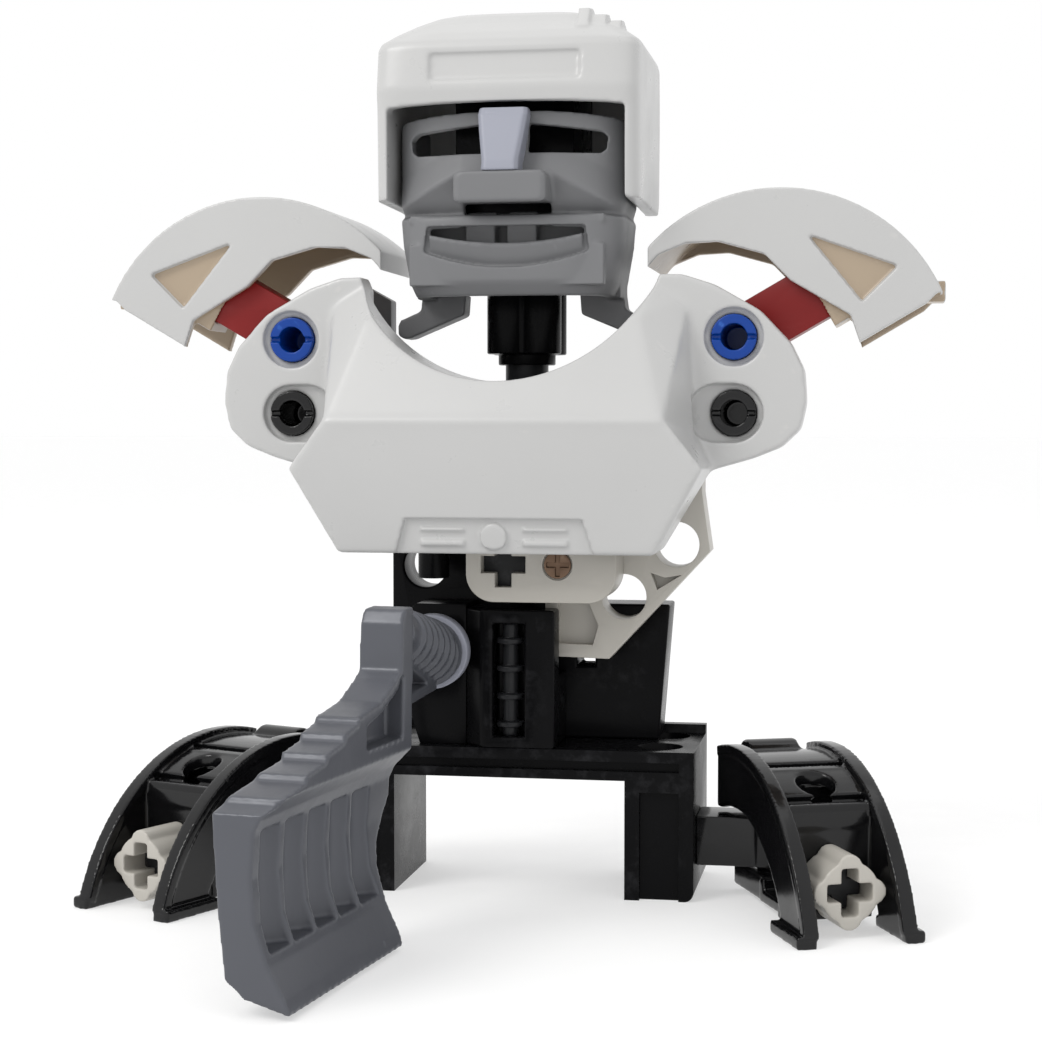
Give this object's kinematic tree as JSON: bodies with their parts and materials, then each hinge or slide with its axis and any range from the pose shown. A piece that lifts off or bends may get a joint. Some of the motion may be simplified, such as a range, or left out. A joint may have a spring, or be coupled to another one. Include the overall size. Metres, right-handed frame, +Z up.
{
  "type": "toy ice hockey robot",
  "caption": "Posable toy ice hockey robot with helmet, face mask, shoulder pads, swinging stick and turning skates on a bridge base.",
  "frame": {"origin": "on the floor, at the centre of the footprint's bounding box", "axes": "+Z up, the robot looks towards -Y, +X towards the viewer's right"},
  "size_m": [0.0918, 0.0721, 0.0952],
  "materials": {
    "white_plastic": "moulded, semi-gloss white",
    "cream_plastic": "moulded, semi-gloss warm white",
    "black_plastic": "moulded, gloss black",
    "dark_plastic": "moulded, dark grey",
    "grey_plastic": "moulded, satin grey",
    "pale_plastic": "moulded, pale bluish grey",
    "silver_plastic": "moulded, pearl silver grey",
    "blue_plastic": "moulded, bright blue",
    "red_plastic": "moulded, dark red",
    "screw_metal": "browned steel"
  },
  "bodies": {
    "base": {"base_frame": "black_plastic", "waist_column": "black_plastic", "return_spring": "dark_plastic", "hip_block": "black_plastic", "stick_bearing": "black_plastic", "left_ankle_link": "black_plastic", "right_ankle_link": "black_plastic", "ankle_pins": "dark_plastic"},
    "upper_body": {"chest_shell": "white_plastic", "torso_beam": "black_plastic", "back_link": "grey_plastic", "shoulder_pins": "blue_plastic", "chest_pins": "black_plastic", "waist_housing": "cream_plastic", "waist_axle": "dark_plastic", "axle_bush": "dark_plastic", "housing_screw": "screw_metal", "bracket_plate": "cream_plastic", "bracket_pin": "black_plastic", "hanging_stub": "black_plastic", "neck_axle": "dark_plastic", "neck_connector": "black_plastic"},
    "head": {"head_core": "black_plastic", "face_mask": "grey_plastic", "nose_bridge": "pale_plastic", "helmet": "white_plastic"},
    "left_arm": {"left_arm_stub": "red_plastic", "left_shoulder_pad": "white_plastic"},
    "right_arm": {"right_arm_stub": "red_plastic", "right_shoulder_pad": "white_plastic"},
    "stick": {"stick_disc": "pale_plastic", "stick_hub": "silver_plastic", "stick_blade": "silver_plastic", "stick_axle": "black_plastic", "trigger_lever": "black_plastic"},
    "left_foot": {"left_skate": "black_plastic", "left_foot_bush": "cream_plastic", "left_foot_axle": "dark_plastic"},
    "right_foot": {"right_skate": "black_plastic", "right_foot_bush": "cream_plastic", "right_foot_axle": "dark_plastic"}
  },
  "joints": [
    {"name": "waist_lean", "type": "hinge", "parent": "base", "child": "upper_body", "pos_m": [0, 0.0266, 0.036], "axis": [0, 1, 0], "range_deg": [-8, 8]},
    {"name": "neck_turn", "type": "hinge", "parent": "upper_body", "child": "head", "pos_m": [0, 0.027, 0.07], "axis": [0, 0, 1], "range_deg": [-15, 15]},
    {"name": "left_shoulder_lift", "type": "hinge", "parent": "upper_body", "child": "left_arm", "pos_m": [-0.024, 0.0213, 0.06], "axis": [0, 1, 0], "range_deg": [-22, 4]},
    {"name": "right_shoulder_lift", "type": "hinge", "parent": "upper_body", "child": "right_arm", "pos_m": [0.024, 0.0213, 0.06], "axis": [0, 1, 0], "range_deg": [-4, 22]},
    {"name": "stick_swing", "type": "hinge", "parent": "base", "child": "stick", "pos_m": [-0.008, 0.023, 0.0265], "axis": [0, 1, 0], "range_deg": [-18, 18]},
    {"name": "left_ankle_turn", "type": "hinge", "parent": "base", "child": "left_foot", "pos_m": [-0.0288, 0.0206, 0.006], "axis": [0, 0, 1], "range_deg": [-12, 12]},
    {"name": "right_ankle_turn", "type": "hinge", "parent": "base", "child": "right_foot", "pos_m": [0.0288, 0.0206, 0.006], "axis": [0, 0, 1], "range_deg": [-12, 12]}
  ]
}
